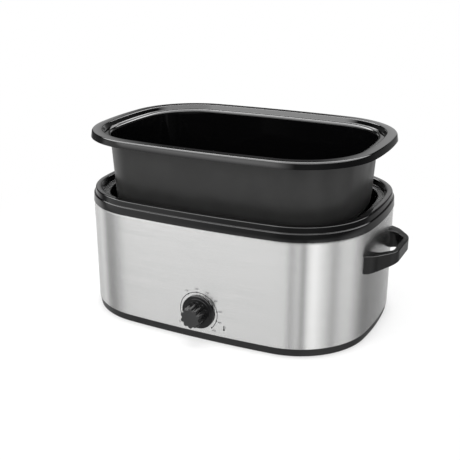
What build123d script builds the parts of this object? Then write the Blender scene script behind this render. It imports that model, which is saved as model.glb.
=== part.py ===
"""Electric roaster oven: an oblong countertop base that heats a lift-out cooking pan.

Millimetres, +Z up, the front and its control knob towards -Y. The origin is on the table, under the middle
of the base. The pan is stored lifted out of the well, at the middle of its travel.
"""

from build123d import *
from math import asin, cos, degrees, hypot, radians, sin, tan
import os

# Plan of the base: four bowed sides that run into large round corners.
body_width = 545
body_depth = 385
corner_radius = 138
side_bow = 27
front_bow = 14

# Heights of what shows from outside, from the table upwards.
foot_drop = 3
band_height = 14
wrap_height = 191.5
skirt_height = 14.5
lip_rise = 10.2

# Sheet and wall thicknesses.
wrap_sheet = 0.8
collar_sheet = 1.2
well_sheet = 0.8
pan_sheet = 1.4
tray_sheet = 0.7
band_wall = 2.5

# Bottom pan, its plug-in feet and its vents.
band_taper = 2.4
upstand_height = 10
floor_recess = 3
floor_sheet = 2.5
foot_radius = 11
foot_plug_radius = 4
foot_barb = 1.2
foot_inset = 82.5
vent_length = 44
vent_width = 5
vent_pitch = 11
vent_rows = 7
vent_spread = 150

# Collar that caps the steel wrap: skirt, raised lip for the pan's rim, inner ledge for the well.
lip_setback = 2
lip_width = 13
inner_step = 12
ledge_width = 13
collar_turndown = 7

# Heating well.
well_draft = 2
well_floor_height = 69
well_bottom_radius = 22
well_floor_flat = 8
well_flange_start = 2.5

# Band heater and glass-fibre blanket round the well.
heater_rise = 27
heater_height = 56
heater_thickness = 3
blanket_rise = 23
blanket_height = 104
blanket_thickness = 13

# Reflector tray under the well, on spacers.
tray_gap = 22
tray_rise = 17
tray_setback = 52
tray_flange = 8
spacer_radius = 6
spacer_inset = (127.5, 117.5)
screw_radius = 2
screw_head_radius = 4
screw_head_height = 2.4
screw_depth = 12

# Cooking pan: a down-turned rim, a stepped seat for a lid, drafted walls.
pan_depth = 148
pan_rim_gap = 0.3
pan_skirt_gap = 0.7
pan_rim_setback = 0.2
pan_rim_width = 21
pan_step = 8
pan_step_slope = 3.5
pan_ledge = 11.5
pan_draft = 3.5
pan_bottom_radius = 28
pan_floor_flat = 8
pan_lift = 105

# Loop handles on the two ends: half of each outline, as distances out from the end and along it.
handle_reach = 37.5
handle_corner = 42
handle_corner_radius = 45
handle_shoulder = (8.5, 79)
handle_shoulder_radius = 40
handle_root_width = 95
handle_root_depth = 22
grip_thickness = 9.5
opening_corner = 34
opening_shoulder = (8.5, 56)
opening_radius = 16
opening_root_width = 57
handle_top = 166
grip_height = 21
root_height = 32
handle_edge = 1.5
handle_screw_run = 75
handle_screw_radius = 1.6
handle_screw_length = 9
screw_head_gap = 0.1
plate_sheet = 1.2
plate_margin = 8

# Thermostat, its shaft and its knob.
knob_x = 7
knob_height = 56
thermostat_size = (40, 22, 36)
bushing_radius = 4.8
bushing_length = 4.5
nut_width = 12
nut_height = 2.5
shaft_radius = 3
shaft_flat = 0.8
shaft_clearance = 0.05
knob_gap = 0.7
flange_radius = 30.5
flange_thickness = 4
flange_bevel = 1.2
ring_radius = 25.5
ring_rise = 1.2
knob_grip_radius = 20.5
knob_grip_height = 26
knob_grip_taper = 4
flute_count = 10
flute_radius = 3
flute_centre = 21.4
nut_pocket_radius = 8.5

# Cord outlet in the back wall and the terminal block behind it.
outlet_height = 40
outlet_plate = (36, 28)
outlet_plate_thickness = 3
outlet_neck = (24, 17)
neck_clearance = 0.2
neck_depth = 8
boot_length = 23
boot_root_radius = 9
boot_tip_radius = 7
boot_groove = 1.4
boot_groove_count = 4
cord_bore_radius = 4.2
terminal_size = (46, 18, 16)
terminal_x = 70
terminal_inset = 52.5          # its middle from the back wall
terminal_count = 3

# Capillary bulb that reads the well's temperature, and its clip.
bulb_radius = 3
bulb_length = 70
clip_width = 16
clip_sheet = 0.8
clip_foot = 8

# Where the visible pieces meet.
foot_spacing = (body_width - 2 * foot_inset, body_depth - 2 * foot_inset)
spacer_spacing = (body_width - 2 * spacer_inset[0], body_depth - 2 * spacer_inset[1])
wrap_bottom = foot_drop + band_height
wrap_top = wrap_bottom + wrap_height
collar_ledge = wrap_top + skirt_height
lip_top = collar_ledge + lip_rise
floor_bottom = foot_drop + floor_recess
floor_top = floor_bottom + floor_sheet
front = -body_depth / 2
back = body_depth / 2

corner_x = body_width / 2 - side_bow
corner_y = body_depth / 2 - front_bow
front_radius = (corner_x**2 + front_bow**2) / (2 * front_bow)
side_radius = (corner_y**2 + side_bow**2) / (2 * side_bow)


def plan(inset=0.0, mode=Mode.ADD):
    """The plan of the base, set in by inset, for the sketch that is being made."""
    with BuildSketch(mode=Mode.PRIVATE) as outline:
        with Locations((0, front_radius - body_depth / 2)):
            Circle(front_radius - inset)
        with Locations((0, body_depth / 2 - front_radius)):
            Circle(front_radius - inset, mode=Mode.INTERSECT)
        with Locations((side_radius - body_width / 2, 0)):
            Circle(side_radius - inset, mode=Mode.INTERSECT)
        with Locations((body_width / 2 - side_radius, 0)):
            Circle(side_radius - inset, mode=Mode.INTERSECT)
        fillet(outline.vertices(), corner_radius - inset)
    return add(outline.sketch, mode=mode)


def at(inset, height):
    """A point of a wall's section: how far in from the plan's edge, and how high."""
    return (front + inset, height)


# The right-hand half of the plan's edge, from the middle of the front to the middle of the back.
with BuildSketch() as footprint:
    plan()
with BuildLine() as half_edge:
    add(footprint.wire())
    split(bisect_by=Plane.YZ)
half_path = half_edge.wire()

os.makedirs("parts", exist_ok=True)

# Bottom pan: the dark band under the steel, an upstand inside the wrap, and a vented floor.
with BuildPart() as base_pan:
    with BuildSketch(Plane.YZ):
        with BuildLine():
            Polyline(
                at(band_taper, foot_drop),
                at(0, wrap_bottom),
                at(wrap_sheet, wrap_bottom),
                at(wrap_sheet, wrap_bottom + upstand_height),
                at(wrap_sheet + band_wall, wrap_bottom + upstand_height),
                at(wrap_sheet + band_wall, floor_top),
                at(band_taper + band_wall, floor_bottom),
                at(band_taper + band_wall, foot_drop),
                close=True,
            )
        make_face()
    sweep(path=half_path)
    mirror(about=Plane.YZ)
    with BuildSketch(Plane.XY.offset(floor_bottom)):
        plan(band_taper + band_wall / 2)
    extrude(amount=floor_sheet)
    with BuildSketch(Plane.XY.offset(floor_bottom)):
        with Locations((-vent_spread / 2, 0), (vent_spread / 2, 0)):
            with GridLocations(0, vent_pitch, 1, vent_rows):
                SlotOverall(vent_length, vent_width)
        with GridLocations(*foot_spacing, 2, 2):
            Circle(foot_plug_radius)
        with GridLocations(*spacer_spacing, 2, 2):
            Circle(screw_radius)
    extrude(amount=floor_sheet, mode=Mode.SUBTRACT)
base_pan.part.label = "base_pan"
export_step(base_pan.part, "parts/base_pan.step")

# Four rubber feet, each plugged into the floor by a barbed stem.
foot_places = GridLocations(*foot_spacing, 2, 2).locations
for number, place in enumerate(foot_places, 1):
    foot_plane = Plane(place.position, x_dir=(1, 0, 0), z_dir=(0, -1, 0))
    with BuildPart() as foot:
        with BuildSketch(foot_plane):
            with BuildLine():
                Polyline(
                    (0, 0),
                    (foot_radius - 1, 0),
                    (foot_radius, 1),
                    (foot_radius, floor_bottom),
                    (foot_plug_radius, floor_bottom),
                    (foot_plug_radius, floor_top),
                    (foot_plug_radius + foot_barb, floor_top),
                    (foot_plug_radius, floor_top + 2 * foot_barb),
                    (0, floor_top + 2 * foot_barb),
                    close=True,
                )
            make_face()
        revolve(axis=Axis(place.position, (0, 0, 1)))
    foot.part.label = f"foot_{number}"
    export_step(foot.part, f"parts/foot_{number}.step")

# Brushed steel wrap, standing on the band and running up inside the collar's skirt.


def end_wall(run, height):
    """The plane that touches the wrap a run along it from the middle of its right end, facing outwards."""
    place = half_path.length / 2 + run
    point = half_path.position_at(place, position_mode=PositionMode.LENGTH)
    along = half_path.tangent_at(place, position_mode=PositionMode.LENGTH)
    return Plane((point.X, point.Y, height), z_dir=(along.Y, -along.X, 0))


handle_bottom = handle_top - root_height
handle_screw_planes = [
    end_wall(run, handle_bottom + root_height / 2) for run in (-handle_screw_run, handle_screw_run)
]
knob_plane = Plane((knob_x, front, knob_height), x_dir=(1, 0, 0), z_dir=(0, -1, 0))
outlet_plane = Plane((0, back, outlet_height), x_dir=(-1, 0, 0), z_dir=(0, 1, 0))
wrap_tuck = skirt_height - 3

with BuildPart() as steel_wrap:
    with BuildSketch(Plane.XY.offset(wrap_bottom)):
        plan()
        plan(wrap_sheet, mode=Mode.SUBTRACT)
    extrude(amount=wrap_height + wrap_tuck)
    with BuildSketch(knob_plane.offset(wrap_sheet)):
        Circle(bushing_radius)
    extrude(amount=-3 * wrap_sheet, mode=Mode.SUBTRACT)
    with BuildSketch(outlet_plane.offset(wrap_sheet)):
        Rectangle(*outlet_neck)
    extrude(amount=-3 * wrap_sheet, mode=Mode.SUBTRACT)
    with BuildPart(mode=Mode.PRIVATE) as screw_holes:
        for screw_plane in handle_screw_planes:
            with BuildSketch(screw_plane.offset(wrap_sheet)):
                Circle(handle_screw_radius)
            extrude(amount=-3 * wrap_sheet)
        mirror(about=Plane.YZ)
    add(screw_holes.part, mode=Mode.SUBTRACT)
steel_wrap.part.label = "steel_wrap"
export_step(steel_wrap.part, "parts/steel_wrap.step")

# Collar: one pressed ring that hides the wrap's edge, lifts a lip for the pan and steps in to the well.
lip_inner = lip_setback + lip_width
well_seat = lip_top - inner_step
collar_inner = lip_inner + ledge_width
with BuildPart() as collar_ring:
    with BuildSketch(Plane.YZ):
        with BuildLine():
            FilletPolyline(
                at(-collar_sheet, wrap_top),
                at(-collar_sheet, collar_ledge),
                at(lip_setback, collar_ledge),
                at(lip_setback, lip_top),
                at(lip_inner, lip_top),
                at(lip_inner, well_seat),
                at(collar_inner, well_seat),
                at(collar_inner, well_seat - collar_turndown),
                radius=(2, 1, 2.5, 3, 2, 3),
            )
            offset(amount=collar_sheet, side=Side.RIGHT)
        make_face()
    sweep(path=half_path)
    mirror(about=Plane.YZ)
collar_ring.part.label = "collar_ring"
export_step(collar_ring.part, "parts/collar_ring.step")

# Heating well: a drawn sheet liner that hangs by its flange on the collar's inner ledge.
well_flange_top = well_seat + well_sheet
well_mouth = collar_inner + 2.5 * well_sheet
well_wall_height = well_flange_top - well_floor_height
well_foot = well_mouth + well_wall_height * tan(radians(well_draft))
well_flat = well_foot + well_bottom_radius + well_floor_flat
with BuildPart() as heating_well:
    with BuildSketch(Plane.YZ):
        with BuildLine():
            FilletPolyline(
                at(lip_inner + well_flange_start, well_flange_top),
                at(well_mouth, well_flange_top),
                at(well_foot, well_floor_height),
                at(well_flat, well_floor_height),
                radius=(2.5, well_bottom_radius),
            )
            offset(amount=well_sheet, side=Side.RIGHT)
        make_face()
    sweep(path=half_path)
    mirror(about=Plane.YZ)
    with BuildSketch(Plane.XY.offset(well_floor_height)):
        plan(well_flat - well_sheet)
    extrude(amount=-well_sheet)
heating_well.part.label = "heating_well"
export_step(heating_well.part, "parts/heating_well.step")


def well_back(height, gap=0.0):
    """How far in the well's outer face is at a height, or a point that far outside it."""
    draft = radians(well_draft)
    return well_mouth + (well_flange_top - height) * tan(draft) - (well_sheet + gap) / cos(draft)


# Band heater, wound flat round the well's wall.
heater_bottom = well_floor_height + heater_rise
heater_top = heater_bottom + heater_height
with BuildPart() as heater_band:
    with BuildSketch(Plane.YZ):
        with BuildLine():
            Polyline(
                at(well_back(heater_bottom), heater_bottom),
                at(well_back(heater_top), heater_top),
                at(well_back(heater_top, heater_thickness), heater_top),
                at(well_back(heater_bottom, heater_thickness), heater_bottom),
                close=True,
            )
        make_face()
    sweep(path=half_path)
    mirror(about=Plane.YZ)
heater_band.part.label = "heater_band"
export_step(heater_band.part, "parts/heater_band.step")

# Glass-fibre blanket over the heater.
blanket_bottom = well_floor_height + blanket_rise
blanket_top = blanket_bottom + blanket_height
blanket_back = heater_thickness + blanket_thickness
with BuildPart() as insulation_blanket:
    with BuildSketch(Plane.YZ):
        with BuildLine():
            Polyline(
                at(well_back(blanket_bottom, heater_thickness), blanket_bottom),
                at(well_back(blanket_top, heater_thickness), blanket_top),
                at(well_back(blanket_top, blanket_back), blanket_top),
                at(well_back(blanket_bottom, blanket_back), blanket_bottom),
                close=True,
            )
        make_face()
    sweep(path=half_path)
    mirror(about=Plane.YZ)
insulation_blanket.part.label = "insulation_blanket"
export_step(insulation_blanket.part, "parts/insulation_blanket.step")

# Reflector tray between the well and the bottom pan.
tray_height = well_floor_height - well_sheet - tray_gap
tray_foot = tray_setback + tray_flange
with BuildPart() as heat_reflector:
    with BuildSketch(Plane.YZ):
        with BuildLine():
            FilletPolyline(
                at(tray_setback - tray_flange, tray_height + tray_rise),
                at(tray_setback, tray_height + tray_rise),
                at(tray_foot, tray_height),
                at(tray_foot + 3 * tray_flange, tray_height),
                radius=(1.5, 6),
            )
            offset(amount=tray_sheet, side=Side.RIGHT)
        make_face()
    sweep(path=half_path)
    mirror(about=Plane.YZ)
    with BuildSketch(Plane.XY.offset(tray_height)):
        plan(tray_foot + 2 * tray_flange)
    extrude(amount=-tray_sheet)
heat_reflector.part.label = "heat_reflector"
export_step(heat_reflector.part, "parts/heat_reflector.step")

# Spacers that carry the tray on the bottom pan, drilled from below for the screws.
with BuildPart() as reflector_spacers:
    with BuildSketch(Plane.XY.offset(floor_top)):
        with GridLocations(*spacer_spacing, 2, 2):
            Circle(spacer_radius)
    extrude(amount=tray_height - tray_sheet - floor_top)
    with BuildSketch(Plane.XY.offset(floor_top)):
        with GridLocations(*spacer_spacing, 2, 2):
            Circle(screw_radius)
    extrude(amount=screw_depth, mode=Mode.SUBTRACT)
reflector_spacers.part.label = "reflector_spacers"
export_step(reflector_spacers.part, "parts/reflector_spacers.step")

# Spacers that carry the well's floor on the tray.
with BuildPart() as well_spacers:
    with BuildSketch(Plane.XY.offset(tray_height)):
        with GridLocations(*spacer_spacing, 2, 2):
            Circle(spacer_radius)
    extrude(amount=well_floor_height - well_sheet - tray_height)
well_spacers.part.label = "well_spacers"
export_step(well_spacers.part, "parts/well_spacers.step")

# Screws up through the floor into the lower spacers.
with BuildPart() as base_screws:
    with BuildSketch(Plane.XY.offset(floor_bottom)):
        with GridLocations(*spacer_spacing, 2, 2):
            Circle(screw_radius)
    extrude(amount=floor_sheet + screw_depth)
    with BuildSketch(Plane.XY.offset(floor_bottom)):
        with GridLocations(*spacer_spacing, 2, 2):
            Circle(screw_head_radius)
    extrude(amount=-screw_head_height)
base_screws.part.label = "base_screws"
export_step(base_screws.part, "parts/base_screws.step")

# Capillary bulb under the well's floor.
bulb_height = well_floor_height - well_sheet - bulb_radius
with BuildPart() as sensor_bulb:
    with BuildSketch(Plane((-bulb_length / 2, 0, bulb_height), x_dir=(0, 1, 0), z_dir=(1, 0, 0))):
        Circle(bulb_radius)
    extrude(amount=bulb_length)
    fillet(sensor_bulb.edges(), bulb_radius / 3)
sensor_bulb.part.label = "sensor_bulb"
export_step(sensor_bulb.part, "parts/sensor_bulb.step")

# Sprung clip that presses the bulb up against the well.
clip_seat = well_floor_height - well_sheet
with BuildPart() as sensor_clip:
    with BuildSketch(Plane((-clip_width / 2, 0, 0), x_dir=(0, 1, 0), z_dir=(1, 0, 0))):
        with BuildLine():
            clip_side = bulb_radius + 0.5
            clip_drop = clip_seat - 2 * bulb_radius
            FilletPolyline(
                (-clip_side - clip_foot, clip_seat - clip_sheet),
                (-clip_side, clip_seat - clip_sheet),
                (-clip_side, clip_drop),
                (clip_side, clip_drop),
                (clip_side, clip_seat - clip_sheet),
                (clip_side + clip_foot, clip_seat - clip_sheet),
                radius=(0.5, 2, 2, 0.5),
            )
            offset(amount=clip_sheet, side=Side.RIGHT)
        make_face()
    extrude(amount=clip_width)
sensor_clip.part.label = "sensor_clip"
export_step(sensor_clip.part, "parts/sensor_clip.step")

# Cooking pan: one drawn sheet with a down-turned rim and a stepped seat for a lid.
pan_rim_top = lip_top + pan_rim_gap + pan_sheet + pan_lift
pan_rim_height = lip_rise + pan_rim_gap + pan_sheet - pan_skirt_gap
pan_floor = pan_rim_top - pan_depth
pan_seat = pan_rim_top - pan_step
seat_outer = pan_rim_width + pan_step_slope
pan_mouth = seat_outer + pan_ledge
pan_foot = pan_mouth + (pan_seat - pan_floor) * tan(radians(pan_draft))
pan_flat = pan_foot + pan_bottom_radius + pan_floor_flat
with BuildPart() as cooking_pan:
    with BuildSketch(Plane.YZ):
        with BuildLine():
            FilletPolyline(
                at(pan_rim_setback, pan_rim_top - pan_rim_height),
                at(pan_rim_setback, pan_rim_top),
                at(pan_rim_width, pan_rim_top),
                at(seat_outer, pan_seat),
                at(pan_mouth, pan_seat),
                at(pan_foot, pan_floor),
                at(pan_flat, pan_floor),
                radius=(3.5, 2, 2, 5, pan_bottom_radius),
            )
            offset(amount=pan_sheet, side=Side.RIGHT)
        make_face()
    sweep(path=half_path)
    mirror(about=Plane.YZ)
    with BuildSketch(Plane.XY.offset(pan_floor)):
        plan(pan_flat - pan_sheet)
    extrude(amount=-pan_sheet)
cooking_pan.part.label = "cooking_pan"
export_step(cooking_pan.part, "parts/cooking_pan.step")



def loop_face(corners, radii, mode=Mode.ADD):
    """A face that is the same on both sides of the X axis, from half its outline, for the sketch being made."""
    with BuildLine(mode=Mode.PRIVATE) as outline:
        FilletPolyline(*corners, radius=radii)
        Line(corners[-1], (corners[-1][0], 0))
        mirror(about=Plane.XZ)
    return make_face(outline.edges(), mode=mode)


# Loop handle: a flat-topped moulding, deeper at its roots than at the grip, shaped to the wrap's bow.
end = body_width / 2
with BuildPart() as handle_right:
    with BuildSketch(Plane.XY.offset(handle_bottom)):
        loop_face(
            [
                (end + handle_reach, 0),
                (end + handle_reach, handle_corner),
                (end + handle_shoulder[0], handle_shoulder[1]),
                (end - handle_root_depth, handle_root_width),
            ],
            radii=(handle_corner_radius, handle_shoulder_radius),
        )
        loop_face(
            [
                (end + handle_reach - grip_thickness, 0),
                (end + handle_reach - grip_thickness, opening_corner),
                (end + opening_shoulder[0], opening_shoulder[1]),
                (end - handle_root_depth, opening_root_width),
            ],
            radii=(opening_radius, opening_radius),
            mode=Mode.SUBTRACT,
        )
    extrude(amount=root_height)
    with BuildSketch(Plane.XZ):
        with BuildLine():
            Polyline(
                (end - handle_root_depth, handle_bottom),
                (end, handle_bottom),
                (end + handle_reach, handle_top - grip_height),
                (end + handle_reach, handle_top),
                (end - handle_root_depth, handle_top),
                close=True,
            )
        make_face()
    extrude(amount=handle_root_width, both=True, mode=Mode.INTERSECT)
    rims = handle_right.edges().filter_by(lambda edge: abs(edge.tangent_at(0.5).Z) < 0.5)
    fillet(rims.filter_by(lambda edge: edge.center().X > end - handle_root_depth + 1), handle_edge)
    with BuildSketch(Plane.XY.offset(handle_bottom)):
        plan()
    extrude(amount=root_height, mode=Mode.SUBTRACT)
    for screw_plane in handle_screw_planes:
        with BuildSketch(screw_plane.offset(-wrap_sheet)):
            Circle(handle_screw_radius)
        extrude(amount=wrap_sheet + handle_screw_length, mode=Mode.SUBTRACT)
handle_right.part.label = "handle_right"
export_step(handle_right.part, "parts/handle_right.step")

with BuildPart() as handle_left:
    mirror(handle_right.part, about=Plane.YZ)
handle_left.part.label = "handle_left"
export_step(handle_left.part, "parts/handle_left.step")

# Backing plate inside the wrap, bent to its bow, behind each handle's roots.
with BuildPart() as backing_plate_right:
    with BuildSketch(Plane.XY.offset(handle_bottom)):
        plan(wrap_sheet)
        plan(wrap_sheet + plate_sheet, mode=Mode.SUBTRACT)
        with Locations((end, 0)):
            Rectangle(end, 2 * (handle_root_width + plate_margin), mode=Mode.INTERSECT)
    extrude(amount=root_height)
    for screw_plane in handle_screw_planes:
        with BuildSketch(screw_plane):
            Circle(handle_screw_radius)
        extrude(amount=-3 * (wrap_sheet + plate_sheet), mode=Mode.SUBTRACT)
backing_plate_right.part.label = "backing_plate_right"
export_step(backing_plate_right.part, "parts/backing_plate_right.step")

with BuildPart() as backing_plate_left:
    mirror(backing_plate_right.part, about=Plane.YZ)
backing_plate_left.part.label = "backing_plate_left"
export_step(backing_plate_left.part, "parts/backing_plate_left.step")

# Screws from inside, through plate and wrap, into the handles' roots.
with BuildPart() as handle_screws:
    for screw_plane in handle_screw_planes:
        head_plane = screw_plane.offset(-wrap_sheet - plate_sheet - screw_head_gap)
        with BuildSketch(head_plane):
            Circle(handle_screw_radius)
        extrude(amount=screw_head_gap + plate_sheet + wrap_sheet + handle_screw_length - 1)
        with BuildSketch(head_plane):
            Circle(2 * handle_screw_radius)
        extrude(amount=-handle_screw_radius)
    mirror(about=Plane.YZ)
handle_screws.part.label = "handle_screws"
export_step(handle_screws.part, "parts/handle_screws.step")


def shaft_section():
    """The control shaft's round with one flat, for the sketch that is being made."""
    Circle(shaft_radius)
    with Locations((0, shaft_radius)):
        Rectangle(2 * shaft_radius, 2 * shaft_flat, mode=Mode.SUBTRACT)


# Thermostat behind the wrap, with a bushing that passes through it.
body_face = -wrap_sheet - 0.2
with BuildPart() as thermostat_body:
    with BuildSketch(knob_plane.offset(body_face)):
        RectangleRounded(thermostat_size[0], thermostat_size[2], 3)
    extrude(amount=-thermostat_size[1])
    with BuildSketch(knob_plane.offset(body_face)):
        Circle(bushing_radius)
    extrude(amount=bushing_length)
    with BuildSketch(knob_plane.offset(body_face + bushing_length)):
        Circle(shaft_radius + shaft_clearance)
    extrude(amount=-bushing_length - thermostat_size[1] / 2, mode=Mode.SUBTRACT)
    with BuildSketch(knob_plane.offset(body_face - thermostat_size[1])):
        with GridLocations(thermostat_size[0] / 2, thermostat_size[2] / 2, 2, 2):
            Rectangle(6.3, 0.8)
    extrude(amount=-8)
thermostat_body.part.label = "thermostat_body"
export_step(thermostat_body.part, "parts/thermostat_body.step")

# Nut that holds the thermostat to the wrap.
with BuildPart() as thermostat_nut:
    with BuildSketch(knob_plane):
        RegularPolygon(nut_width / 2, 6, major_radius=False)
        Circle(bushing_radius, mode=Mode.SUBTRACT)
    extrude(amount=nut_height)
thermostat_nut.part.label = "thermostat_nut"
export_step(thermostat_nut.part, "parts/thermostat_nut.step")

# Control shaft, flat on one side, turning in the bushing.
shaft_inner = body_face - thermostat_size[1] / 2 + 1
shaft_outer = knob_gap + flange_thickness + ring_rise + knob_grip_height / 2
with BuildPart() as knob_shaft:
    with BuildSketch(knob_plane.offset(shaft_inner)):
        shaft_section()
    extrude(amount=shaft_outer - shaft_inner)
knob_shaft.part.label = "knob_shaft"
export_step(knob_shaft.part, "parts/knob_shaft.step")

# Knob: a bevelled flange, a low ring and a tapered grip with round flutes.
flange_face = knob_gap + flange_thickness
ring_face = flange_face + ring_rise
with BuildPart() as knob:
    with BuildSketch(knob_plane.offset(knob_gap)):
        Circle(flange_radius)
    extrude(amount=flange_thickness)
    chamfer(knob.faces().sort_by(Axis.Y)[0].edges(), flange_bevel)
    with BuildSketch(knob_plane.offset(flange_face)):
        Circle(ring_radius)
    extrude(amount=ring_rise)
    with BuildSketch(knob_plane.offset(ring_face)):
        Circle(knob_grip_radius)
        with PolarLocations(flute_centre, flute_count):
            Circle(flute_radius, mode=Mode.SUBTRACT)
    extrude(amount=knob_grip_height, taper=knob_grip_taper)
    chamfer(knob.faces().sort_by(Axis.Y)[0].edges(), flange_bevel / 2)
    with BuildSketch(knob_plane.offset(knob_gap)):
        Circle(nut_pocket_radius)
    extrude(amount=nut_height + 1, mode=Mode.SUBTRACT)
    with BuildSketch(knob_plane.offset(knob_gap)):
        shaft_section()
    extrude(amount=shaft_outer - knob_gap, mode=Mode.SUBTRACT)
knob.part.label = "knob"
export_step(knob.part, "parts/knob.step")

# Cord outlet: a moulded plate outside the wrap, a square neck through it and a ribbed boot.
with BuildPart() as cord_outlet:
    with BuildSketch(outlet_plane.offset(-1)):
        RectangleRounded(*outlet_plate, 4)
    extrude(amount=1 + outlet_plate_thickness)
    with BuildSketch(Plane.XY):
        plan()
    extrude(amount=2 * outlet_height, mode=Mode.SUBTRACT)
    with BuildSketch(outlet_plane.offset(outlet_plate_thickness)):
        Rectangle(outlet_neck[0] - neck_clearance, outlet_neck[1] - neck_clearance)
    extrude(amount=-outlet_plate_thickness - neck_depth)
    with BuildSketch(outlet_plane.offset(outlet_plate_thickness)):
        Circle(boot_root_radius)
    extrude(
        amount=boot_length,
        taper=degrees(asin((boot_root_radius - boot_tip_radius) / hypot(boot_length, 2))),
    )
    boot_axis = Axis((0, back, outlet_height), (0, 1, 0))
    for step in range(boot_groove_count):
        groove_place = outlet_plate_thickness + boot_length * (step + 1) / (boot_groove_count + 1)
        with BuildSketch(outlet_plane.offset(groove_place)):
            Circle(boot_root_radius + 1)
            Circle(boot_tip_radius - boot_groove / 2, mode=Mode.SUBTRACT)
        extrude(amount=boot_groove, mode=Mode.SUBTRACT)
    with BuildSketch(outlet_plane.offset(outlet_plate_thickness + boot_length)):
        Circle(cord_bore_radius)
    extrude(amount=-boot_length - outlet_plate_thickness - neck_depth, mode=Mode.SUBTRACT)
cord_outlet.part.label = "cord_outlet"
export_step(cord_outlet.part, "parts/cord_outlet.step")

# Terminal block on the floor, one well for each conductor.
terminal_place = (terminal_x, back - terminal_inset)
with BuildPart() as terminal_block:
    with BuildSketch(Plane.XY.offset(floor_top)):
        with Locations(terminal_place):
            RectangleRounded(terminal_size[0], terminal_size[1], 2)
    extrude(amount=terminal_size[2])
    with BuildSketch(Plane.XY.offset(floor_top + terminal_size[2])):
        with Locations(terminal_place):
            with GridLocations(terminal_size[0] / terminal_count, 0, terminal_count, 1):
                Rectangle(terminal_size[0] / terminal_count - 4, terminal_size[1] - 4)
    extrude(amount=-terminal_size[2] / 2, mode=Mode.SUBTRACT)
terminal_block.part.label = "terminal_block"
export_step(terminal_block.part, "parts/terminal_block.step")
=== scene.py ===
from math import acos, atan2, ceil, cos, pi, radians, sin, sqrt, tan

import bmesh
import bpy
from mathutils import Matrix, Vector


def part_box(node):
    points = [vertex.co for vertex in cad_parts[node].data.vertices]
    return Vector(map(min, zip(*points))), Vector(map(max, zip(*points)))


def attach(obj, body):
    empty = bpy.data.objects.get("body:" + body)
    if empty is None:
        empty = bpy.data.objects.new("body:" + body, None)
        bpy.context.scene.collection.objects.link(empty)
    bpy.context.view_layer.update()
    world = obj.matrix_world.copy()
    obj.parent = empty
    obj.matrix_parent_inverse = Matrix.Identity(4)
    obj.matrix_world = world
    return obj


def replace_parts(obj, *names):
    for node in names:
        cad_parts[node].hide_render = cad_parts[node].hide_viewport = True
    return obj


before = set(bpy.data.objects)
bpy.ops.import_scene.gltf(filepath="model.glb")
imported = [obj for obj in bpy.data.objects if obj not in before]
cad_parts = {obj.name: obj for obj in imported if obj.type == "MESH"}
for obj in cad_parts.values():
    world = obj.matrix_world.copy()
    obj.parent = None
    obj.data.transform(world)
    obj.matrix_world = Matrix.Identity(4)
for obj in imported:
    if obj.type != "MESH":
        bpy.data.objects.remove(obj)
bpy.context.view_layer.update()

MM = 0.001

# Plan of the base: bowed sides between large round corners.
BODY_WIDTH = 545 * MM
BODY_DEPTH = 385 * MM
CORNER_RADIUS = 138 * MM
SIDE_BOW = 27 * MM
FRONT_BOW = 14 * MM
FRONT = -BODY_DEPTH / 2
CORNER_X = BODY_WIDTH / 2 - SIDE_BOW
CORNER_Y = BODY_DEPTH / 2 - FRONT_BOW
FRONT_RADIUS = (CORNER_X**2 + FRONT_BOW**2) / (2 * FRONT_BOW)
SIDE_RADIUS = (CORNER_Y**2 + SIDE_BOW**2) / (2 * SIDE_BOW)

# Heights above the table.
WRAP_BOTTOM = 17 * MM
WRAP_TOP = 208.5 * MM
INNER_LEDGE = 221.2 * MM
COLLAR_LEDGE = 223 * MM
LIP_TOP = 233.2 * MM
PAN_RIM_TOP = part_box("cooking_pan")[1].z

# Centre of the control knob on the front.
KNOB_X = 7 * MM
KNOB_Z = 56 * MM


# ---------------------------------------------------------------- camera

def point_camera():
    """A camera to the right of the front and above the pan, looking down at the base."""
    azimuth, elevation = radians(26.15), radians(20.12)
    distance = 1531 * MM
    target = Vector((-26.8, 0, 138.1)) * MM
    back = Vector((sin(azimuth) * cos(elevation), -cos(azimuth) * cos(elevation), sin(elevation)))
    data = bpy.data.cameras.new("camera")
    data.sensor_width = 36
    data.lens = 62.33
    data.clip_end = 20
    camera = bpy.data.objects.new("camera", data)
    camera.location = target + back * distance
    camera.rotation_euler = (-back).to_track_quat("-Z", "Y").to_euler()
    bpy.context.scene.collection.objects.link(camera)
    bpy.context.scene.camera = camera


# ---------------------------------------------------------------- plan of the base and swept sheets

def arc_points(centre, radius, start, end, step):
    """Points and outward normals along an arc, its end left out."""
    count = max(2, ceil(radius * abs(end - start) / step))
    for i in range(count):
        angle = start + (end - start) * i / count
        normal = Vector((cos(angle), sin(angle)))
        yield centre + normal * radius, normal


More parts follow.
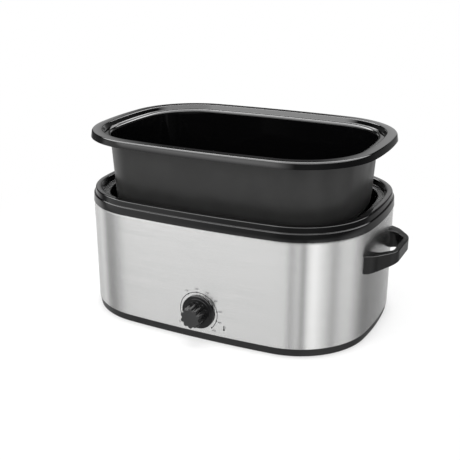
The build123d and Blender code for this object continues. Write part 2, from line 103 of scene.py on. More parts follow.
def plan_edge(step=5 * MM):
    """Points and outward normals round the plan, anticlockwise from the middle of the front."""
    front_centre = Vector((0, FRONT_RADIUS - BODY_DEPTH / 2))
    side_centre = Vector((BODY_WIDTH / 2 - SIDE_RADIUS, 0))
    # The corner's centre lies where circles about the two bows' centres cross.
    to_front, to_side = FRONT_RADIUS - CORNER_RADIUS, SIDE_RADIUS - CORNER_RADIUS
    apart = front_centre - side_centre
    gap = apart.length
    along = (to_side**2 - to_front**2 + gap**2) / (2 * gap)
    across = sqrt(to_side**2 - along**2)
    corner = side_centre + apart / gap * along + Vector((apart.y, -apart.x)) / gap * across
    front_turn = atan2(corner.y - front_centre.y, corner.x - front_centre.x)
    side_turn = atan2(corner.y - side_centre.y, corner.x - side_centre.x)
    quarter = [
        *arc_points(front_centre, FRONT_RADIUS, -pi / 2, front_turn, 2 * step),
        *arc_points(corner, CORNER_RADIUS, front_turn, side_turn, step),
        *arc_points(side_centre, SIDE_RADIUS, side_turn, 0, 2 * step),
    ]
    middle = (Vector((BODY_WIDTH / 2, 0)), Vector((1, 0)))
    to_back = Matrix(((1, 0), (0, -1)))
    to_left = Matrix(((-1, 0), (0, 1)))
    right = quarter + [middle] + [(to_back @ p, to_back @ n) for p, n in reversed(quarter)]
    left = [(to_left @ p, to_left @ n) for p, n in reversed(right)]
    return right + left[1:-1]


EDGE = plan_edge()


def wall_y(x):
    """The wrap's bowed front face at x."""
    return FRONT + FRONT_RADIUS - sqrt(FRONT_RADIUS**2 - x**2)


def rounded(points, bends, steps=6):
    """A section's points, (inset, height), with each inner corner rounded to its bend's radius."""
    nearly_straight = pi / 2 - 0.01
    corners = [Vector(p) for p in points]
    line = [corners[0]]
    for before, corner, after, radius in zip(corners, corners[1:], corners[2:], bends):
        to_before, to_after = (before - corner).normalized(), (after - corner).normalized()
        half = acos(max(-1, min(1, to_before.dot(to_after)))) / 2
        if radius == 0 or half > nearly_straight:
            line.append(corner)
            continue
        reach = radius / tan(half)
        centre = corner + (to_before + to_after).normalized() * (radius / sin(half))
        start, end = corner + to_before * reach - centre, corner + to_after * reach - centre
        turn = start.angle_signed(end)
        for i in range(steps + 1):
            line.append(centre + Matrix.Rotation(-turn * i / steps, 2) @ start)
    return line + [corners[-1]]


def divided(line, step):
    """A line's points with more between them where they lie more than a step apart."""
    for start, end in zip(line, line[1:]):
        parts = max(1, ceil((end - start).length / step))
        yield from (start.lerp(end, i / parts) for i in range(parts))
    yield line[-1]


def new_piece(name, mesh, material, body):
    """A finished mesh as a piece of the object that rides on its body."""
    piece = bpy.data.objects.new(name, mesh)
    bpy.context.scene.collection.objects.link(piece)
    if material:
        mesh.materials.append(material)
    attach(piece, body)
    return piece


def plain_mesh(piece):
    """A piece's mesh with its modifiers applied for good."""
    evaluated = piece.evaluated_get(bpy.context.evaluated_depsgraph_get())
    mesh = bpy.data.meshes.new_from_object(evaluated)
    piece.modifiers.clear()
    piece.data = mesh
    return mesh


def smooth(mesh, angle=32):
    """Smooth shading with edges kept sharp past an angle in degrees."""
    mesh.shade_smooth()
    mesh.set_sharp_from_angle(angle=radians(angle))


def swept_sheet(name, section, floor=False):
    """A sheet round the plan's edge: section is (inset, height) points, its upper or outer side first.

    Its UV map runs in metres, round the plan and along the section.
    """
    work = bmesh.new()
    uv = work.loops.layers.uv.new("run")
    rings = [[work.verts.new((*(p - n * inset), height)) for p, n in EDGE] for inset, height in section]
    run = [0.0]
    for (p, _), (q, _) in zip(EDGE, EDGE[1:] + EDGE[:1]):
        run.append(run[-1] + (q - p).length)
    rise = [0.0]
    for before, after in zip(section, section[1:]):
        rise.append(rise[-1] + (after - before).length)
    for row, (lower, upper) in enumerate(zip(rings, rings[1:])):
        for i in range(len(EDGE)):
            j = (i + 1) % len(EDGE)
            face = work.faces.new((lower[i], lower[j], upper[j], upper[i]))
            places = ((i, row), (i + 1, row), (i + 1, row + 1), (i, row + 1))
            for loop, (column, line) in zip(face.loops, places):
                loop[uv].uv = (run[column], rise[line])
    if floor:
        work.faces.new(rings[-1])
    mesh = bpy.data.meshes.new(name)
    work.to_mesh(mesh)
    work.free()
    return mesh


def pressed_sheet(name, node, body, finishes, points, bends, sheet, steps=6, floor=False):
    """A pressed sheet round the plan, in place of a CAD node.

    Its section is drawn on the outer or upper side, the sheet's thickness lies behind that, and a second
    finish goes on the back.
    """
    section = rounded(points, [radius * MM for radius in bends], steps)
    mesh = swept_sheet(name, section, floor)
    piece = new_piece(name, mesh, finishes[0], body)
    for back in finishes[1:]:
        mesh.materials.append(back)
    solid = piece.modifiers.new("sheet", "SOLIDIFY")
    solid.thickness = sheet
    solid.offset = -1
    solid.use_even_offset = True
    solid.material_offset = len(finishes) - 1
    solid.material_offset_rim = len(finishes) - 1
    smooth(plain_mesh(piece))
    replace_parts(piece, node)


# ---------------------------------------------------------------- node trees

class Tree:
    """A node tree, built a node at a time."""

    def __init__(self, tree):
        self.tree = tree

    def add(self, kind, *inputs, **settings):
        """A node with its properties set; inputs are (socket, value or another node's output)."""
        node = self.tree.nodes.new(kind)
        for key, value in settings.items():
            setattr(node, key, value)
        for socket, value in inputs:
            self.put(node, socket, value)
        return node

    def put(self, node, socket, value):
        """A value, or a link from another node's output, on a node's socket."""
        if isinstance(value, bpy.types.NodeSocket):
            self.tree.links.new(value, node.inputs[socket])
        else:
            node.inputs[socket].default_value = value

    def math(self, operation, *values):
        return self.add("ShaderNodeMath", *enumerate(values), operation=operation).outputs[0]


class Shape(Tree):
    """Geometry nodes that make a piece, with a named input for each of its sizes."""

    def __init__(self, name, **sizes):
        super().__init__(bpy.data.node_groups.new(name, "GeometryNodeTree"))
        sockets = self.tree.interface
        sockets.new_socket("Geometry", in_out="INPUT", socket_type="NodeSocketGeometry")
        sockets.new_socket("Geometry", in_out="OUTPUT", socket_type="NodeSocketGeometry")
        self.values = {}
        for size, value in sizes.items():
            kind = "NodeSocketInt" if isinstance(value, int) else "NodeSocketFloat"
            socket = sockets.new_socket(size.replace("_", " "), in_out="INPUT", socket_type=kind)
            self.values[socket.identifier] = value
        self.inputs = self.add("NodeGroupInput").outputs

    def place(self):
        """The three coordinates of each point."""
        where = self.add("GeometryNodeInputPosition").outputs[0]
        return self.add("ShaderNodeSeparateXYZ", (0, where)).outputs

    def moved(self, geometry, *place):
        """The geometry with its points at new coordinates."""
        where = self.add("ShaderNodeCombineXYZ", *enumerate(place)).outputs[0]
        return self.add("GeometryNodeSetPosition", ("Geometry", geometry), ("Position", where)).outputs[0]

    def grow(self, geometry, material, start=None):
        """Runs the tree on a mesh that it starts from, and returns its result as a plain mesh."""
        real = self.add("GeometryNodeRealizeInstances", (0, geometry)).outputs[0]
        dressed = self.add("GeometryNodeSetMaterial", ("Geometry", real), ("Material", material)).outputs[0]
        self.add("NodeGroupOutput", (0, dressed))
        seed = bpy.data.objects.new("seed", start or bpy.data.meshes.new("seed"))
        bpy.context.scene.collection.objects.link(seed)
        modifier = seed.modifiers.new("shape", "NODES")
        modifier.node_group = self.tree
        for identifier, value in self.values.items():
            modifier[identifier] = value
        mesh = bpy.data.meshes.new_from_object(seed.evaluated_get(bpy.context.evaluated_depsgraph_get()))
        bpy.data.objects.remove(seed)
        return mesh


# Most of a noise texture lies between these two values.
NOISE_SPAN = (0.3, 0.7)


class Finish(Tree):
    """A material's nodes round its shader."""

    def __init__(self, name):
        self.material = bpy.data.materials.new(name)
        self.material.use_nodes = True
        super().__init__(self.material.node_tree)
        self.shader = self.tree.nodes["Principled BSDF"]

    def set(self, **values):
        """Values on the shader's own sockets, with spaces written as underscores."""
        for key, value in values.items():
            self.put(self.shader, key.replace("_", " "), value)

    def coordinates(self, scale, output="Object"):
        where = self.add("ShaderNodeTexCoord").outputs[output]
        return self.add("ShaderNodeMapping", ("Vector", where), ("Scale", scale)).outputs["Vector"]

    def noise(self, vector, scale, detail=3.0, roughness=0.55):
        sockets = (("Vector", vector), ("Scale", scale), ("Detail", detail), ("Roughness", roughness))
        return self.add("ShaderNodeTexNoise", *sockets).outputs["Fac"]

    def spread(self, noise, low, high):
        """A noise stretched to go from low to high."""
        span = (("From Min", NOISE_SPAN[0]), ("From Max", NOISE_SPAN[1]), ("To Min", low), ("To Max", high))
        return self.add("ShaderNodeMapRange", ("Value", noise), *span).outputs["Result"]

    def ramp(self, noise, dark, light):
        """Two colours, mixed by a noise."""
        node = self.add("ShaderNodeValToRGB", ("Fac", noise))
        for stop, position, colour in zip(node.color_ramp.elements, NOISE_SPAN, (dark, light)):
            stop.position = position
            stop.color = (*colour, 1)
        return node.outputs["Color"]

    def bump(self, height, strength, distance):
        sockets = (("Height", height), ("Strength", strength), ("Distance", distance))
        return self.add("ShaderNodeBump", *sockets).outputs["Normal"]


# ---------------------------------------------------------------- materials

# Noise scales, per metre: the soft clouds in every plain finish, and the enamel's drift, peel and speckle.
CLOUDS = 25
ENAMEL_DRIFT = 14
ENAMEL_PEEL = 90
ENAMEL_SPECKLE = 900
# The steel's fine streaks and broader bands, per metre along the wrap and up it.
STEEL_STREAKS = (5, 800, 1)
STEEL_BANDS = (2.2, 60, 1)


def grained(name, dark, light, roughness, grain, depth, metallic=0.0, specular=0.5):
    """A fine-grained finish: two close colours, a wandering roughness and a raised grain, in metres."""
    m = Finish(name)
    place = m.coordinates((1, 1, 1))
    clouds = m.noise(place, CLOUDS)
    m.set(Base_Color=m.ramp(clouds, dark, light), Metallic=metallic, Specular_IOR_Level=specular)
    m.set(Roughness=m.spread(clouds, roughness * 0.85, roughness * 1.15))
    if depth:
        m.set(Normal=m.bump(m.noise(place, 1 / grain, detail=2), 0.6, depth))
    return m.material


def brushed_steel():
    """Stainless sheet brushed along the wrap: long fine streaks in colour, roughness and relief."""
    m = Finish("brushed_steel")
    streaks = m.noise(m.coordinates(STEEL_STREAKS, "UV"), 1.0, roughness=0.6)
    bands = m.noise(m.coordinates(STEEL_BANDS, "UV"), 1.0, detail=2)
    mixed = m.math("MULTIPLY_ADD", bands, 0.25, m.math("MULTIPLY", streaks, 0.75))
    m.set(Base_Color=m.ramp(mixed, (0.695, 0.695, 0.69), (0.765, 0.765, 0.76)), Metallic=1.0)
    m.set(Roughness=m.spread(streaks, 0.195, 0.225), Anisotropic=0.8, Anisotropic_Rotation=0.25)
    m.set(Tangent=m.add("ShaderNodeTangent", direction_type="UV_MAP", uv_map="run").outputs["Tangent"])
    m.set(Normal=m.bump(streaks, 0.12, 0.00004))
    return m.material


def black_enamel():
    """Glossy black enamel with a faint orange peel and pinhead speckle."""
    m = Finish("black_enamel")
    place = m.coordinates((1, 1, 1))
    peel = m.noise(place, ENAMEL_PEEL, detail=2)
    speckle = m.noise(place, ENAMEL_SPECKLE)
    m.set(Base_Color=m.ramp(speckle, (0.001, 0.001, 0.0011), (0.0025, 0.0025, 0.0027)))
    m.set(Roughness=m.spread(m.noise(place, ENAMEL_DRIFT), 0.03, 0.06), Specular_IOR_Level=0.45)
    m.set(Normal=m.bump(peel, 0.03, 0.0002))
    return m.material


# The grained finishes: dark and light colour, roughness, the grain's size and depth, and what else they set.
GRAINED = {
    "pan_back": ((0.024, 0.024, 0.0236), (0.03, 0.03, 0.0295), 0.34, 0.0009, 0.00002,
                 {"specular": 0.34}),
    "well_enamel": ((0.004, 0.004, 0.0042), (0.008, 0.008, 0.0083), 0.26, 0.0009, 0.00004, {}),
    "band_plastic": ((0.011, 0.011, 0.0114), (0.017, 0.017, 0.0174), 0.4, 0.0004, 0.00003,
                     {"specular": 0.28}),
    "handle_plastic": ((0.002, 0.002, 0.0021), (0.004, 0.004, 0.0042), 0.15, 0.0004, 0.00001,
                       {"specular": 0.28}),
    "knob_gloss": ((0.007, 0.007, 0.0073), (0.013, 0.013, 0.0134), 0.1, 0.0004, 0.00001,
                   {"specular": 0.22}),
    "knob_face": ((0.013, 0.013, 0.0135), (0.021, 0.021, 0.0215), 0.5, 0.0012, 0.0001, {}),
    "foot_rubber": ((0.012, 0.012, 0.012), (0.022, 0.022, 0.022), 0.7, 0.0006, 0.00006, {}),
    "zinc_plate": ((0.55, 0.55, 0.53), (0.7, 0.7, 0.68), 0.34, 0.0005, 0.00002, {"metallic": 1.0}),
    "mica_sheet": ((0.34, 0.31, 0.25), (0.5, 0.47, 0.4), 0.55, 0.002, 0.0001, {}),
    "glass_fibre": ((0.68, 0.62, 0.46), (0.88, 0.84, 0.7), 0.95, 0.0015, 0.0006, {}),
    "aluminised": ((0.66, 0.66, 0.66), (0.8, 0.8, 0.8), 0.24, 0.003, 0.00003, {"metallic": 1.0}),
    "copper": ((0.6, 0.3, 0.19), (0.78, 0.45, 0.32), 0.3, 0.001, 0.00002, {"metallic": 1.0}),
    "steatite": ((0.74, 0.72, 0.66), (0.86, 0.85, 0.8), 0.5, 0.0006, 0.00003, {}),
    "dial_print": ((0.008, 0.008, 0.008), (0.012, 0.012, 0.012), 0.5, 0.0004, 0.0, {}),
}


def make_materials():
    """Every finish of the object, by name."""
    made = {"brushed_steel": brushed_steel(), "black_enamel": black_enamel()}
    for name, (*look, more) in GRAINED.items():
        made[name] = grained(name, *look, **more)
    return made


# ---------------------------------------------------------------- pieces that keep their CAD shape

# The pieces inside the base that are shown as they are, by finish.
CAD_FINISHES = {
    "zinc_plate": ["reflector_spacers", "well_spacers", "sensor_clip", "backing_plate_left",
                   "backing_plate_right", "handle_screws", "thermostat_nut", "knob_shaft"],
    "mica_sheet": ["heater_band"],
    "glass_fibre": ["insulation_blanket"],
    "aluminised": ["heat_reflector"],
    "copper": ["sensor_bulb"],
    "steatite": ["thermostat_body", "terminal_block"],
}

# The pieces that keep their CAD shape with eased edges: new name, finish, material slot and edge radius.
MOULDINGS = {
    "base_pan": ("band_moulding", "band_plastic", "black_plastic", 0.5 * MM),
    "cord_outlet": ("outlet_moulding", "band_plastic", "black_plastic", 0.4 * MM),
    "handle_left": ("left_loop", "handle_plastic", "handle_plastic", 1.0 * MM),
    "handle_right": ("right_loop", "handle_plastic", "handle_plastic", 1.0 * MM),
    "base_screws": ("screw_heads", "zinc_plate", "fastener_steel", 0.2 * MM),
    **{f"foot_{i}": (f"foot_pad_{i}", "foot_rubber", "foot_rubber", 0.5 * MM) for i in range(1, 5)},
}


def finish_cad_nodes(materials):
    """Gives the CAD pieces that are shown as they are their finish."""
    for finish, names in CAD_FINISHES.items():
        for name in names:
            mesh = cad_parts[name].data
            mesh.materials.clear()
            mesh.materials.append(materials[finish])


def make_mouldings(materials):
    """Pieces with their CAD shape, its triangles merged to whole faces and its edges eased."""
    same_point, same_face, sharp_edge = 0.001 * MM, radians(0.5), radians(35)
    for node, (name, finish, slot, radius) in MOULDINGS.items():
        work = bmesh.new()
        work.from_mesh(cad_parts[node].data)
        bmesh.ops.remove_doubles(work, verts=work.verts, dist=same_point)
        bmesh.ops.dissolve_limit(work, angle_limit=same_face, verts=work.verts, edges=work.edges)
        mesh = bpy.data.meshes.new(name)
        work.to_mesh(mesh)
        work.free()
        mesh.shade_smooth()
        piece = new_piece(name, mesh, materials[finish], "base")
        bevel = piece.modifiers.new("edge", "BEVEL")
        bevel.width = radius
        bevel.segments = 3
        bevel.limit_method = "ANGLE"
        bevel.angle_limit = sharp_edge
        piece.modifiers.new("flat_faces", "WEIGHTED_NORMAL")
        plain_mesh(piece)
        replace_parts(piece, node)


# ---------------------------------------------------------------- main shells
# The bends of each section are radii in millimetres, one for each of its inner corners.

def make_wrap(materials):
    """The brushed steel wrap, from the band up to inside the collar's skirt."""
    shoulder, turn_in, tuck = 3 * MM, 0.5 * MM, 8 * MM
    points = [
        (0, WRAP_BOTTOM),
        (0, WRAP_TOP - shoulder),
        (turn_in, WRAP_TOP),
        (turn_in, WRAP_TOP + tuck),
    ]
    pressed_sheet("steel_skin", "steel_wrap", "base", [materials["brushed_steel"]],
                  points, (20, 2), 0.8 * MM)


def make_collar(materials):
    """The pressed collar: a flared skirt, a ledge, the raised lip, and the step to the inner ledge."""
    sheet = 1.2 * MM
    lip_foot, lip_outer, lip_inner = 2.4 * MM, 3.6 * MM, 15 * MM
    inner, turn_down = 28 * MM, 7 * MM
    points = [
        (-sheet, WRAP_TOP),
        (0, COLLAR_LEDGE),
        (lip_foot, COLLAR_LEDGE),
        (lip_outer, LIP_TOP),
        (lip_inner, LIP_TOP),
        (lip_inner, INNER_LEDGE),
        (inner, INNER_LEDGE),
        (inner, INNER_LEDGE - turn_down),
    ]
    pressed_sheet("rim_collar", "collar_ring", "base", [materials["black_enamel"]],
                  points, (1.5, 0.7, 1.8, 1.8, 1.0, 2.0), sheet)


def make_well(materials):
    """The drawn heating well, hung by its flange on the collar's inner ledge."""
    sheet = 0.8 * MM
    flange, floor = INNER_LEDGE + sheet, 69 * MM
    flange_edge, mouth, floor_reach = 17.5 * MM, 30 * MM, 30 * MM
    foot = mouth + (flange - floor) * tan(radians(2))
    points = [
        (flange_edge, flange),
        (mouth, flange),
        (foot, floor),
        (foot + floor_reach, floor),
    ]
    pressed_sheet("well_liner", "heating_well", "base", [materials["well_enamel"]],
                  points, (2.5, 22), sheet, steps=10, floor=True)


def make_pan(materials):
    """The cooking pan: glossy inside and over the rim, satin on its back."""
    top, depth, step, skirt = PAN_RIM_TOP, 148 * MM, 8 * MM, 11.2 * MM
    skirt_foot, rim_outer, rim_inner = 0.2 * MM, 2.4 * MM, 21 * MM
    seat_outer, mouth, floor_reach = 24.5 * MM, 36 * MM, 36 * MM
    floor, seat = top - depth, top - step
    foot = mouth + (seat - floor) * tan(radians(3.5))
    points = [
        (skirt_foot, top - skirt),
        (rim_outer, top),
        (rim_inner, top),
        (seat_outer, seat),
        (mouth, seat),
        (foot, floor),
        (foot + floor_reach, floor),
    ]
    pressed_sheet("pan_shell", "cooking_pan", "pan",
                  [materials["black_enamel"], materials["pan_back"]],
                  points, (3.5, 2, 2, 5, 28), 1.4 * MM, steps=8, floor=True)


# ---------------------------------------------------------------- knob

def turned(section, segments):
    """A closed mesh turned round the y axis: section is (radius, distance towards -y), from axis to axis."""
    work = bmesh.new()
    rings = []
    for radius, out in section:
        if radius < 0.001 * MM:
            rings.append([work.verts.new((0, -out, 0))] * segments)
            continue
        turns = [2 * pi * i / segments for i in range(segments)]
        rings.append([work.verts.new((radius * cos(t), -out, radius * sin(t))) for t in turns])
    for inner, outer in zip(rings, rings[1:]):
        for i in range(segments):
            j = (i + 1) % segments
            work.faces.new(list(dict.fromkeys((inner[i], inner[j], outer[j], outer[i]))))
    bmesh.ops.recalc_face_normals(work, faces=work.faces)
    mesh = bpy.data.meshes.new("turned")
    work.to_mesh(mesh)
    work.free()
    return mesh


# The knob's radii, and its distances out from the wrap, in millimetres.
SHAFT_BORE, SHAFT_BORE_END = 3.05, 18.9
NUT_POCKET, NUT_POCKET_END = 8.5, 4.2
FLANGE, FLANGE_BACK, FLANGE_FACE = 30.5, 0.7, 4.7
RING, RING_FACE = 25.5, 5.9
GRIP_FOOT, GRIP_TOP, GRIP_FACE = 20.5, 18.7, 31.9
KNOB_SECTION = [
    (0, SHAFT_BORE_END), (SHAFT_BORE, SHAFT_BORE_END), (SHAFT_BORE, NUT_POCKET_END),
    (NUT_POCKET, NUT_POCKET_END), (NUT_POCKET, FLANGE_BACK), (FLANGE, FLANGE_BACK), (FLANGE, FLANGE_FACE),
    (RING, FLANGE_FACE), (RING, RING_FACE), (GRIP_FOOT, RING_FACE), (GRIP_TOP, GRIP_FACE), (0, GRIP_FACE),
]
KNOB_BENDS = [0, 0, 0, 0, 0.5, 1.6, 0.3, 0.8, 0.7, 1.4]


def make_knob(materials):
    """The thermostat knob: a flange, a low ring and a tapered grip that nodes cut round flutes into."""
    corners = [(radius * MM, out * MM) for radius, out in KNOB_SECTION]
    section = list(divided(rounded(corners, [radius * MM for radius in KNOB_BENDS], steps=5), 3 * MM))
    nodes = Shape("knob_flutes", Flutes=10, Flute_depth=3.6 * MM, Ridge_sharpness=1.4, Inward_fade=2.0,
                  Grip_radius=GRIP_FOOT * MM, Grip_margin=1.02, Grip_start=RING_FACE * MM)
    x, y, z = nodes.place()
    sizes = nodes.inputs
    radius = nodes.math("SQRT", nodes.math("MULTIPLY_ADD", x, x, nodes.math("MULTIPLY", z, z)))
    wave = nodes.math("COSINE", nodes.math("MULTIPLY", nodes.math("ARCTAN2", z, x), sizes["Flutes"]))
    hollow = nodes.math("POWER", nodes.math("MULTIPLY_ADD", wave, 0.5, 0.5), sizes["Ridge sharpness"])
    on_grip = nodes.math("GREATER_THAN", nodes.math("MULTIPLY", y, -1.0), sizes["Grip start"])
    widest = nodes.math("MULTIPLY", sizes["Grip radius"], sizes["Grip margin"])
    within = nodes.math("LESS_THAN", radius, widest)
    reach = nodes.math("POWER", nodes.math("DIVIDE", radius, sizes["Grip radius"]), sizes["Inward fade"])
    depth = nodes.math("MULTIPLY", nodes.math("MULTIPLY", hollow, sizes["Flute depth"]), reach)
    cut = nodes.math("MULTIPLY", nodes.math("MULTIPLY", on_grip, within), depth)
    scale = nodes.math("SUBTRACT", 1.0, nodes.math("DIVIDE", cut, nodes.math("MAXIMUM", radius, 0.001 * MM)))
    drawn_in = nodes.math("MULTIPLY", x, scale), y, nodes.math("MULTIPLY", z, scale)
    fluted = nodes.moved(sizes["Geometry"], *drawn_in)
    mesh = nodes.grow(fluted, materials["knob_gloss"], turned(section, 240))
    mesh.materials.append(materials["knob_face"])
    near_face = (0.2 - GRIP_FACE) * MM
    for face in mesh.polygons:
        face.material_index = int(face.center.y < near_face)
    mesh.transform(Matrix.Translation((KNOB_X, FRONT, KNOB_Z)))
    smooth(mesh, 40)
    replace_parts(new_piece("fluted_knob", mesh, None, "control"), "knob")


# ---------------------------------------------------------------- dial print

# The scale's arc, in degrees clockwise from straight up, with a mark at each of its temperatures.
SCALE_RADIUS = 36 * MM
SCALE_START = -127
SCALE_END = 136
FIRST_MARK = -33
MARK_STEP = 28.1
TEMPERATURES = ["150", "200", "250", "300", "350", "400", "450"]
LETTER_HEIGHT = 5 * MM
NUMBER_RADIUS = SCALE_RADIUS + 6.5 * MM
OFF_RADIUS = SCALE_RADIUS + 8 * MM
PRINT_LIFT = 0.03 * MM
PRINT_DEPTH = 0.05 * MM


def on_dial(clock, radius):
    """A point round the knob, in x and height: clock is degrees clockwise from straight up."""
    turn = radians(clock)
    return KNOB_X + radius * sin(turn), KNOB_Z + radius * cos(turn)


def print_piece(name, mesh, materials):
    """A flat mesh drawn in x and z, as a print with a little thickness on the wrap's bowed front."""
    for vertex in mesh.vertices:
        vertex.co.y = wall_y(vertex.co.x) - PRINT_LIFT
    solid = new_piece(name, mesh, materials["dial_print"], "base").modifiers.new("ink", "SOLIDIFY")
    solid.thickness = PRINT_DEPTH
    solid.offset = 0


def text_mesh(words, centre):
    """Plain lettering as a flat mesh in x and z, centred on a point."""
    curve = bpy.data.curves.new("words", "FONT")
    curve.body = words
    curve.size = LETTER_HEIGHT
    curve.align_x = "CENTER"
    curve.align_y = "CENTER"
    curve.resolution_u = 3
    lettering = bpy.data.objects.new("words", curve)
    bpy.context.scene.collection.objects.link(lettering)
    mesh = bpy.data.meshes.new_from_object(lettering.evaluated_get(bpy.context.evaluated_depsgraph_get()))
    bpy.data.objects.remove(lettering)
    mesh.transform(Matrix.Translation((centre[0], 0, centre[1])) @ Matrix.Rotation(pi / 2, 4, "X"))
    return mesh


def make_dial_numbers(materials):
    """The scale's temperatures and its OFF mark, printed round the knob."""
    for i, label in enumerate(TEMPERATURES):
        centre = on_dial(FIRST_MARK + MARK_STEP * i, NUMBER_RADIUS)
        print_piece(f"dial_number_{label}", text_mesh(label, centre), materials)
    print_piece("dial_off", text_mesh("OFF", on_dial(SCALE_START, OFF_RADIUS)), materials)


def make_heat_symbol(materials):
    """A small thermometer printed at the lower right of the scale, with three marks beside its stem."""
    x, z = 55.7 * MM, 31 * MM
    bulb, stem, height = 1.9 * MM, 0.95 * MM, 7 * MM
    bulb_start, bulb_sweep = 0.67 * pi, 1.66 * pi
    mark_length, mark_width, mark_step, first_mark = 1.5 * MM, 0.6 * MM, 1.9 * MM, 3 * MM
    work = bmesh.new()
    turns = [bulb_start + bulb_sweep * i / 16 for i in range(17)]
    outline = [(x + bulb * cos(t), z + bulb * sin(t)) for t in turns]
    outline += [(x + stem * cos(t), z + height + stem * sin(t)) for t in (pi * i / 8 for i in range(9))]
    work.faces.new([work.verts.new((*p, 0)) for p in outline])
    for i in range(3):
        left, low = x + bulb, z + first_mark + mark_step * i
        right, high = left + mark_length, low + mark_width
        corners = ((left, low), (right, low), (right, high), (left, high))
        work.faces.new([work.verts.new((*p, 0)) for p in corners])
    mesh = bpy.data.meshes.new("heat_symbol")
    work.to_mesh(mesh)
    work.free()
    mesh.transform(Matrix.Rotation(pi / 2, 4, "X"))
    print_piece("heat_symbol", mesh, materials)


def make_dial_scale(materials):
    """The scale's fine arc and a round dot at each number, laid on the wrap's bow by nodes."""
    marks = len(TEMPERATURES)
    nodes = Shape(
        "dial_scale",
        Radius=SCALE_RADIUS, Start=radians(90 - SCALE_START), Sweep=radians(SCALE_START - SCALE_END),
        Marks=marks, First_mark=radians(90 - FIRST_MARK), Marks_sweep=-radians(MARK_STEP * (marks - 1)),
        Line_width=1.2 * MM, Line_points=160, Dot_radius=1.5 * MM, Dot_sides=20, Print_depth=PRINT_DEPTH,
        Bow_radius=FRONT_RADIUS, Front=FRONT - PRINT_LIFT,
    )
    sizes = nodes.inputs

    def arc(count, start, sweep):
        turn = (("Start Angle", sizes[start]), ("Sweep Angle", sizes[sweep]), ("Radius", sizes["Radius"]))
        return nodes.add("GeometryNodeCurveArc", ("Resolution", sizes[count]), *turn).outputs["Curve"]

    thin = (("Width", sizes["Line width"]), ("Height", sizes["Print depth"]))
    edge = nodes.add("GeometryNodeCurvePrimitiveQuadrilateral", *thin).outputs["Curve"]
    path = (("Curve", arc("Line points", "Start", "Sweep")), ("Profile Curve", edge), ("Fill Caps", True))
    line = nodes.add("GeometryNodeCurveToMesh", *path).outputs["Mesh"]
    disc = (("Vertices", sizes["Dot sides"]), ("Radius", sizes["Dot radius"]))
    dot = nodes.add("GeometryNodeMeshCylinder", *disc, ("Depth", sizes["Print depth"])).outputs["Mesh"]
    path = ("Curve", arc("Marks", "First mark", "Marks sweep"))
    places = nodes.add("GeometryNodeCurveToPoints", path, mode="EVALUATED").outputs["Points"]
    dots = nodes.add("GeometryNodeInstanceOnPoints", ("Points", places), ("Instance", dot)).outputs[0]
    both = nodes.add("GeometryNodeJoinGeometry", (0, dots))
    nodes.tree.links.new(line, both.inputs[0])
    whole = nodes.add("GeometryNodeRealizeInstances", (0, both.outputs[0])).outputs[0]
    x, y, z = nodes.place()
    across = nodes.math("ADD", x, KNOB_X)
    square = nodes.math("MULTIPLY", sizes["Bow radius"], sizes["Bow radius"])
    chord = nodes.math("SQRT", nodes.math("SUBTRACT", square, nodes.math("MULTIPLY", across, across)))
    sag = nodes.math("SUBTRACT", sizes["Bow radius"], chord)
    depth = nodes.math("SUBTRACT", nodes.math("ADD", sizes["Front"], sag), z)
    laid = nodes.moved(whole, across, depth, nodes.math("ADD", y, KNOB_Z))
    new_piece("dial_scale", nodes.grow(laid, materials["dial_print"]), None, "base")


# ---------------------------------------------------------------- studio

# How bright the studio looks in reflections, by compass angle in degrees: 0 on the right, -90 in front.
# Low down: white walls in front and behind, a bright one between grey flags beyond the front's right
# corner, and grey screens at the left end and towards the rear on the right.
LOW_WALLS = [
    (-180, 0.7), (-171, 0.36), (-160, 0.38), (-145, 0.62), (-130, 0.88), (-98, 0.93), (-86, 0.95),
    (-77, 0.58), (-67, 0.85), (-59, 0.4), (-51, 1.2), (-43, 1.4), (-33, 1.12), (-14, 0.56), (0, 0.86),
    (14, 0.9), (28, 0.62), (42, 0.34), (60, 0.28), (76, 0.4), (100, 0.8), (130, 0.7), (155, 0.7),
    (172, 0.9), (180, 0.7),
]
# Above them: white on the front's left, dim in front, dark at both ends, and two pale screens behind.
HIGH_WALLS = [
    (-180, 0.12), (-172, 0.2), (-163, 0.9), (-124, 0.9), (-112, 0.5), (-96, 0.25), (-80, 0.2),
    (-56, 0.25), (-40, 0.2), (-14, 0.12), (20, 0.1), (60, 0.12), (86, 0.25), (97, 0.9), (105, 0.85),
    (109, 0.12), (121, 0.08), (123.5, 0.3), (126, 0.8), (132, 0.8), (137, 0.1), (180, 0.12),
]
# A soft box over the horizon, on the front's left: 1 inside it.
FRONT_BOX = [(-180, 0), (-145, 0), (-136, 1), (-110, 1), (-76, 0), (180, 0)]
FRONT_BOX_BRIGHTNESS = 3.2
# Over the walls a dark gap, and then a ring of light that draws the bright lines along rounded edges.
HIGH_GAP = 0.04
HIGH_RING = [(-180, 6.5), (-108, 6.5), (-92, 5.0), (0, 5.0), (112, 5.0), (124, 6.5), (180, 6.5)]
CEILING = 0.05
# The sines of elevation between which one of these goes over into the next.
LOW_WALLS_TOP = (-0.21, -0.14)
FRONT_BOX_FOOT = (0.08, 0.14)
HIGH_WALLS_TOP = (0.315, 0.34)
HIGH_RING_FOOT = (0.5, 0.58)
HIGH_RING_TOP = (0.92, 0.97)
# The low walls grow brighter upwards: between two sines of elevation, from one factor to another.
LOW_WALLS_SHADE = (-0.55, -0.15, 0.72, 1.22)
# Light on everything that isn't a reflection.
AMBIENT = 0.45

# The floor's radius and how far out its shadow fades, in metres, and the least share of plain white in it.
FLOOR_RADIUS = 6
SHADOW_FADE = (0.3, 0.9)
LEAST_GLOW = 0.6


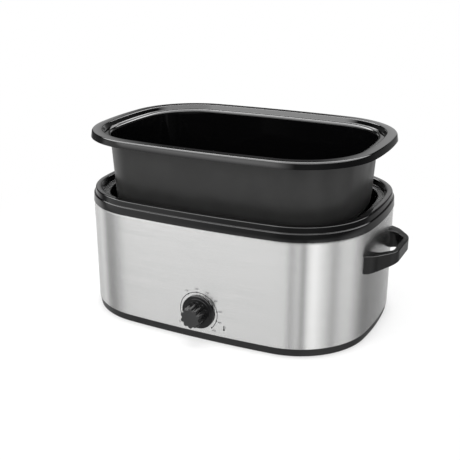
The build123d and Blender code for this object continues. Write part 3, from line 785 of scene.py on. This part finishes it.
def make_floor():
    """A white floor that keeps the shadow near the object and runs out into a white backdrop."""
    work = bmesh.new()
    bmesh.ops.create_circle(work, cap_ends=True, segments=96, radius=FLOOR_RADIUS)
    mesh = bpy.data.meshes.new("floor")
    work.to_mesh(mesh)
    work.free()
    floor = bpy.data.objects.new("floor", mesh)
    bpy.context.scene.collection.objects.link(floor)
    m = Finish("floor")
    m.set(Base_Color=(0.92, 0.92, 0.92, 1), Roughness=0.9, Specular_IOR_Level=0.0)
    glow = m.add("ShaderNodeEmission", ("Color", (1, 1, 1, 1)), ("Strength", 1.0))
    away = m.add("ShaderNodeVectorMath", (0, m.coordinates((1, 1, 0))), operation="LENGTH").outputs["Value"]
    fade = m.add(
        "ShaderNodeMapRange", ("Value", away), ("From Min", SHADOW_FADE[0]), ("From Max", SHADOW_FADE[1]),
        ("To Min", LEAST_GLOW), ("To Max", 1.0), interpolation_type="SMOOTHSTEP",
    ).outputs["Result"]
    mix = m.add("ShaderNodeMixShader", (0, fade), (1, m.shader.outputs[0]), (2, glow.outputs[0]))
    # Reflections see the studio's walls through the floor, so that they run on down to the object's foot.
    glossy = m.add("ShaderNodeLightPath").outputs["Is Glossy Ray"]
    clear = m.add("ShaderNodeBsdfTransparent")
    seen = m.add("ShaderNodeMixShader", (0, glossy), (1, mix.outputs[0]), (2, clear.outputs[0]))
    m.tree.links.new(seen.outputs[0], m.tree.nodes["Material Output"].inputs["Surface"])
    mesh.materials.append(m.material)


def make_world():
    """White to the camera, the studio's walls in reflections, and an even soft light."""
    world = bpy.data.worlds.new("studio")
    bpy.context.scene.world = world
    world.use_nodes = True
    world.cycles.sampling_method = "NONE"
    studio = Tree(world.node_tree)

    def walls(stops):
        """The brightness of a list of walls in the direction that is looked at."""
        ramp = studio.add("ShaderNodeValToRGB", ("Fac", compass.outputs["Result"]))
        inner = [ramp.color_ramp.elements.new((angle + 180) / 360) for angle, _ in stops[1:-1]]
        ends = ramp.color_ramp.elements[0], ramp.color_ramp.elements[-1]
        for stop, (_, bright) in zip([ends[0], *inner, ends[1]], stops):
            stop.color = (bright, bright, bright, 1)
        return ramp.outputs["Color"]

    def mixed(factor, first, second):
        return studio.add("ShaderNodeMix", ("Factor", factor), ("A", first), ("B", second)).outputs[0]

    def rising(low, high, below, above):
        """One value below a direction's low sine of elevation and another above its high one."""
        span = (("From Min", low), ("From Max", high))
        share = studio.add("ShaderNodeMapRange", ("Value", way["Z"]), *span).outputs["Result"]
        return mixed(share, below, above)

    direction = studio.add("ShaderNodeTexCoord").outputs["Generated"]
    way = studio.add("ShaderNodeSeparateXYZ", (0, direction)).outputs
    turn = studio.math("ARCTAN2", way["Y"], way["X"])
    compass = studio.add("ShaderNodeMapRange", ("Value", turn), ("From Min", -pi), ("From Max", pi))
    low = studio.math("MULTIPLY", walls(LOW_WALLS), rising(*LOW_WALLS_SHADE))
    seen = rising(*LOW_WALLS_TOP, low, walls(HIGH_WALLS))
    in_box = studio.math("MULTIPLY", walls(FRONT_BOX), rising(*FRONT_BOX_FOOT, 0.0, 1.0))
    seen = mixed(in_box, seen, FRONT_BOX_BRIGHTNESS)
    seen = rising(*HIGH_WALLS_TOP, seen, HIGH_GAP)
    seen = rising(*HIGH_RING_FOOT, seen, walls(HIGH_RING))
    seen = rising(*HIGH_RING_TOP, seen, CEILING)
    rays = studio.add("ShaderNodeLightPath").outputs
    bright = mixed(rays["Is Camera Ray"], mixed(rays["Is Glossy Ray"], AMBIENT, seen), 1.0)
    background = studio.tree.nodes["Background"]
    studio.put(background, "Color", (1, 1, 1, 1))
    studio.put(background, "Strength", bright)


def area_light(name, place, aim, size, power, mirrored=False):
    """A rectangular soft light at a place, turned to a point, and seen in reflections or not."""
    data = bpy.data.lights.new(name, "AREA")
    data.shape = "RECTANGLE"
    data.size, data.size_y = size
    data.energy = power
    light = bpy.data.objects.new(name, data)
    light.location = place
    light.rotation_euler = (Vector(place) - Vector(aim)).to_track_quat("Z", "Y").to_euler()
    light.visible_glossy = mirrored
    light.visible_camera = False
    bpy.context.scene.collection.objects.link(light)


def make_lights():
    """Soft boxes: in front, on both sides, and two that also show in gloss, overhead and behind."""
    middle = (0, 0, 0.15)
    area_light("front_box", (-0.5, -2.6, 1.3), middle, (2.4, 1.6), 45)
    area_light("top_box", (0.1, -0.3, 2.6), middle, (1.6, 1.0), 30, mirrored=True)
    area_light("right_box", (2.4, -0.4, 1.0), middle, (1.0, 1.8), 18)
    area_light("left_box", (-2.4, 0.4, 1.2), middle, (1.0, 1.8), 14)
    area_light("back_box", (-0.9, 2.2, 2.1), middle, (1.8, 0.6), 18, mirrored=True)


# ---------------------------------------------------------------- the scene

bpy.context.scene.view_settings.view_transform = "Standard"
point_camera()
materials = make_materials()
finish_cad_nodes(materials)
make_wrap(materials)
make_collar(materials)
make_well(materials)
make_pan(materials)
make_mouldings(materials)
make_knob(materials)
make_dial_scale(materials)
make_dial_numbers(materials)
make_heat_symbol(materials)
make_floor()
make_world()
make_lights()
